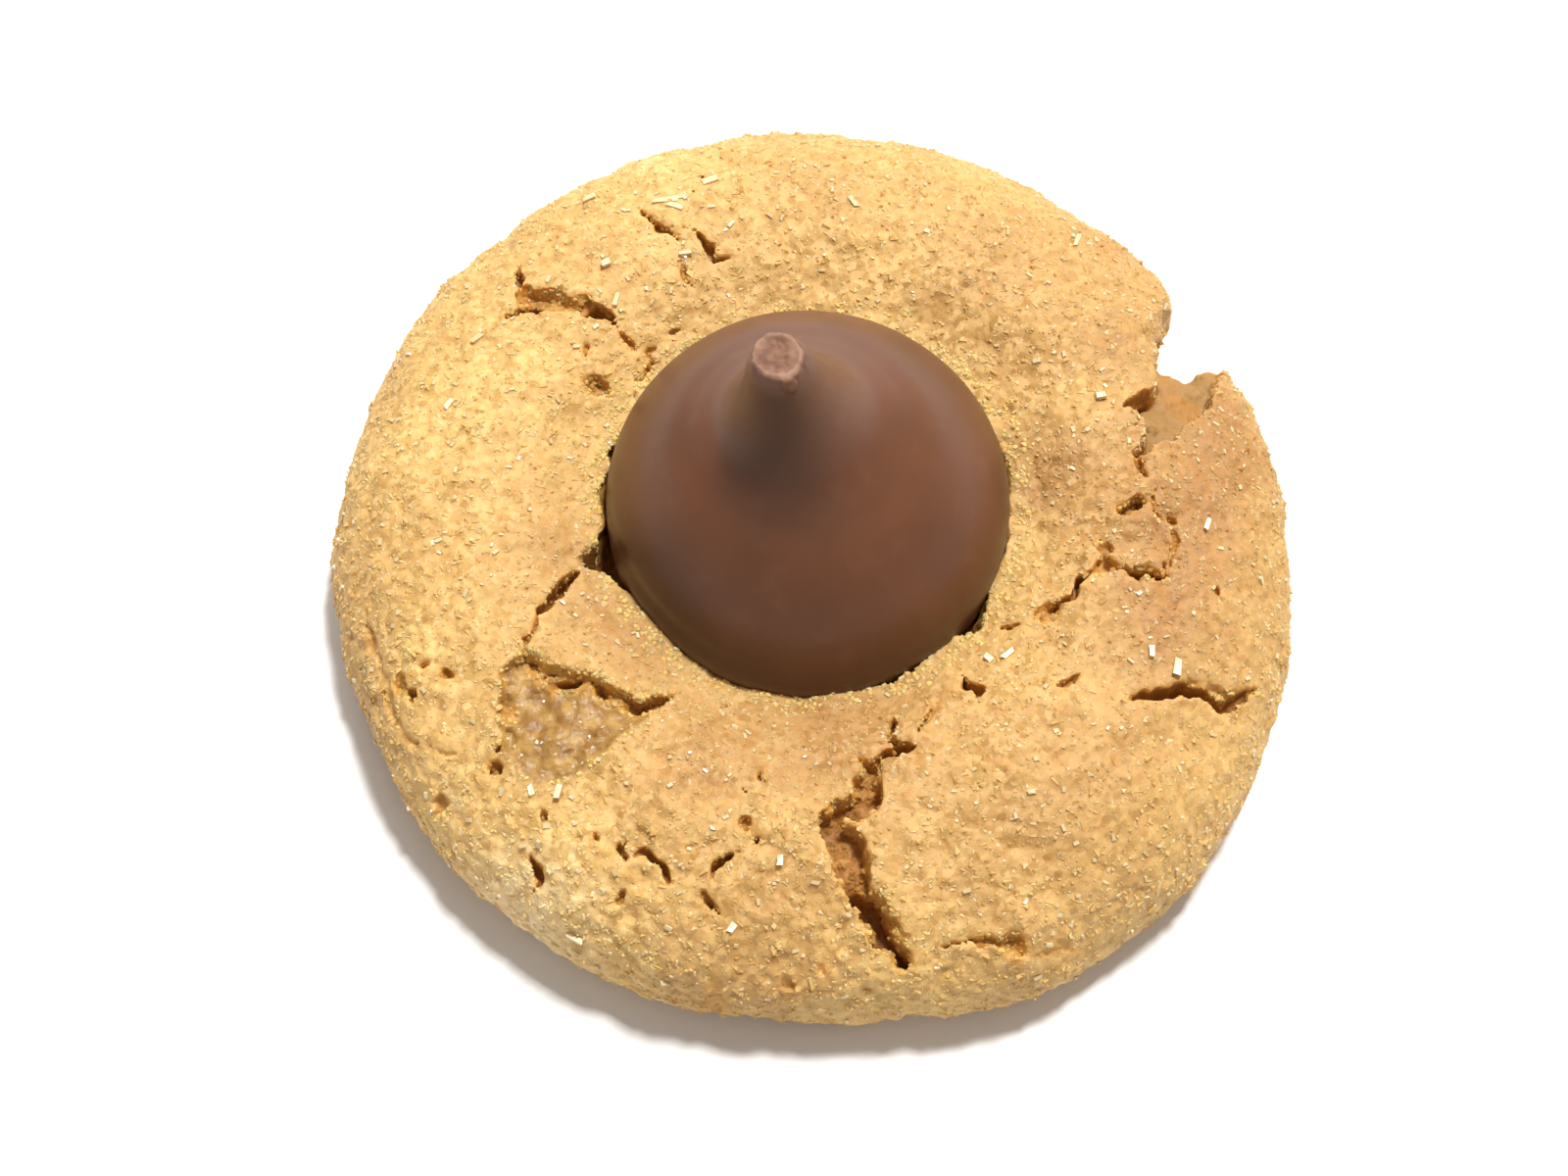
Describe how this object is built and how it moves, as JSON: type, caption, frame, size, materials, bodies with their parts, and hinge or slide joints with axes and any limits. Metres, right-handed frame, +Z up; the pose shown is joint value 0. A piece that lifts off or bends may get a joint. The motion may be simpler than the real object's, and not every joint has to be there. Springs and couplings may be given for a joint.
{
  "type": "peanut butter blossom cookie",
  "caption": "Round sugar-rolled peanut butter cookie with a cracked, dimpled crust and a broken edge, and a pointed milk chocolate drop pressed into its middle.",
  "frame": {"origin": "middle of the cookie's bounding box, on the flat underside it rests on", "axes": "+Z up through the chocolate drop, +Y towards the back of the cookie, +X to its right with the broken edge at the back right"},
  "size_m": [0.0528, 0.0528, 0.0242],
  "materials": {
    "cookie": null,
    "chocolate": null
  },
  "bodies": {
    "root": {"cookie": "cookie", "chocolate_drop": "chocolate"}
  },
  "joints": []
}
